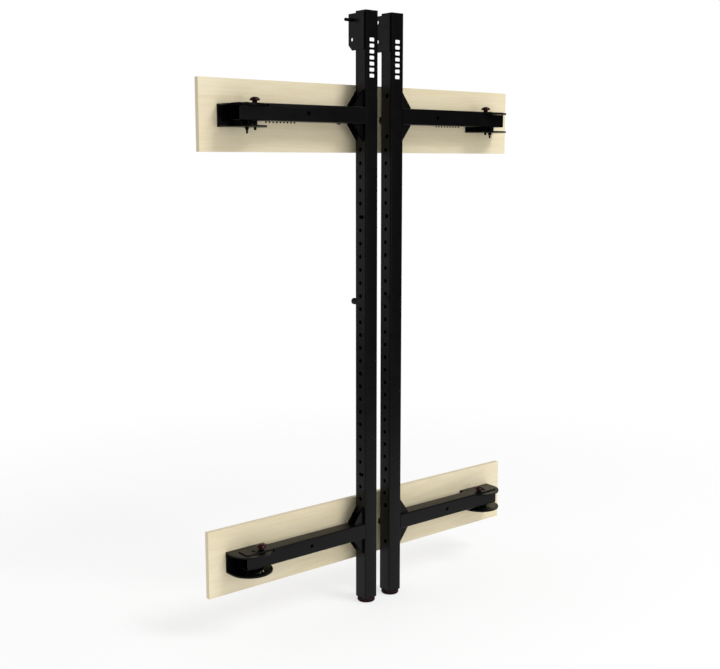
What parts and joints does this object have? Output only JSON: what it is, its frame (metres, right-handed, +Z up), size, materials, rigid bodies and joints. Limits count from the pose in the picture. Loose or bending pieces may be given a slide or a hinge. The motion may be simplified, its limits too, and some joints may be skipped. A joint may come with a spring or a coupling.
{
  "type": "folding wall-mounted weight rack",
  "caption": "Wall-mounted weight rack folded flat: perforated square-tube uprights on hinged arms, with steel brackets on plywood wall boards.",
  "frame": {"origin": "floor level, midway between the two uprights and midway between the wall and the front of the brackets", "axes": "+Z up along the uprights, +Y into the wall, +X to the right seen from the front"},
  "size_m": [1.5, 0.1404, 2.276],
  "materials": {
    "black_powder_coat": "satin black powder coat with a fine texture",
    "black_plastic": "moulded, matte",
    "plywood": "sanded pale birch plywood, unvarnished",
    "dark_steel": "black oxide",
    "bright_steel": "zinc plated",
    "dark_red_plastic": "moulded, satin",
    "dark_red_rubber": "moulded rubber",
    "black_rubber": "moulded rubber"
  },
  "bodies": {
    "wall_frame": {"wall_board_upper": "plywood", "wall_board_lower": "plywood", "hinge_bracket_upper_left": "black_powder_coat", "hinge_bracket_upper_right": "black_powder_coat", "hinge_bracket_lower_left": "black_powder_coat", "hinge_bracket_lower_right": "black_powder_coat", "bracket_bolts": "dark_steel", "bracket_tee_nuts": "bright_steel", "hinge_bolts": "dark_steel", "hinge_nuts": "dark_steel", "hinge_washers": "dark_steel", "hinge_spacers": "dark_steel"},
    "left_frame": {"upright_left": "black_powder_coat", "end_cap_left": "black_plastic", "top_plate_left": "black_powder_coat", "arm_upper_left": "black_powder_coat", "arm_lower_left": "black_powder_coat", "gusset_upper_left_top": "black_powder_coat", "gusset_upper_left_bottom": "black_powder_coat", "gusset_lower_left_top": "black_powder_coat", "gusset_lower_left_bottom": "black_powder_coat", "arm_bolts_left": "dark_steel", "arm_nuts_left": "dark_steel", "pivot_bushes_left": "bright_steel", "foot_plug_left": "black_plastic", "wall_buffer": "black_rubber", "buffer_stud": "bright_steel", "buffer_nut": "dark_steel"},
    "right_frame": {"upright_right": "black_powder_coat", "end_cap_right": "black_plastic", "top_plate_right": "black_powder_coat", "arm_upper_right": "black_powder_coat", "arm_lower_right": "black_powder_coat", "gusset_upper_right_top": "black_powder_coat", "gusset_upper_right_bottom": "black_powder_coat", "gusset_lower_right_top": "black_powder_coat", "gusset_lower_right_bottom": "black_powder_coat", "arm_bolts_right": "dark_steel", "arm_nuts_right": "dark_steel", "pivot_bushes_right": "bright_steel", "foot_plug_right": "black_plastic"},
    "lock_upper_left": {"lock_pin_upper_left": "dark_steel", "lock_knob_upper_left": "dark_red_plastic"},
    "lock_upper_right": {"lock_pin_upper_right": "dark_steel", "lock_knob_upper_right": "dark_red_plastic"},
    "lock_lower_left": {"lock_pin_lower_left": "dark_steel", "lock_knob_lower_left": "dark_red_plastic"},
    "lock_lower_right": {"lock_pin_lower_right": "dark_steel", "lock_knob_lower_right": "dark_red_plastic"},
    "foot_left": {"foot_stud_left": "bright_steel", "foot_pad_left": "dark_red_rubber"},
    "foot_right": {"foot_stud_right": "bright_steel", "foot_pad_right": "dark_red_rubber"},
    "top_pin": {"top_plate_pin": "dark_steel"}
  },
  "joints": [
    {"name": "left_fold", "type": "hinge", "parent": "wall_frame", "child": "left_frame", "pos_m": [-0.5955, -0.01025, 0.298], "axis": [0, 0, -1], "range_deg": [0, 90]},
    {"name": "right_fold", "type": "hinge", "parent": "wall_frame", "child": "right_frame", "pos_m": [0.5955, -0.01025, 0.298], "axis": [0, 0, 1], "range_deg": [0, 90]},
    {"name": "lock_upper_left_lift", "type": "slide", "parent": "left_frame", "child": "lock_upper_left", "axis": [0, 0, 1], "range_m": [0, 0.09]},
    {"name": "lock_upper_right_lift", "type": "slide", "parent": "right_frame", "child": "lock_upper_right", "axis": [0, 0, 1], "range_m": [0, 0.09]},
    {"name": "lock_lower_left_lift", "type": "slide", "parent": "left_frame", "child": "lock_lower_left", "axis": [0, 0, 1], "range_m": [0, 0.09]},
    {"name": "lock_lower_right_lift", "type": "slide", "parent": "right_frame", "child": "lock_lower_right", "axis": [0, 0, 1], "range_m": [0, 0.09]},
    {"name": "foot_left_level", "type": "slide", "parent": "left_frame", "child": "foot_left", "axis": [0, 0, -1], "range_m": [0, 0.012]},
    {"name": "foot_right_level", "type": "slide", "parent": "right_frame", "child": "foot_right", "axis": [0, 0, -1], "range_m": [0, 0.012]},
    {"name": "top_pin_pull", "type": "slide", "parent": "left_frame", "child": "top_pin", "axis": [1, 0, 0], "range_m": [0, 0.04]}
  ]
}
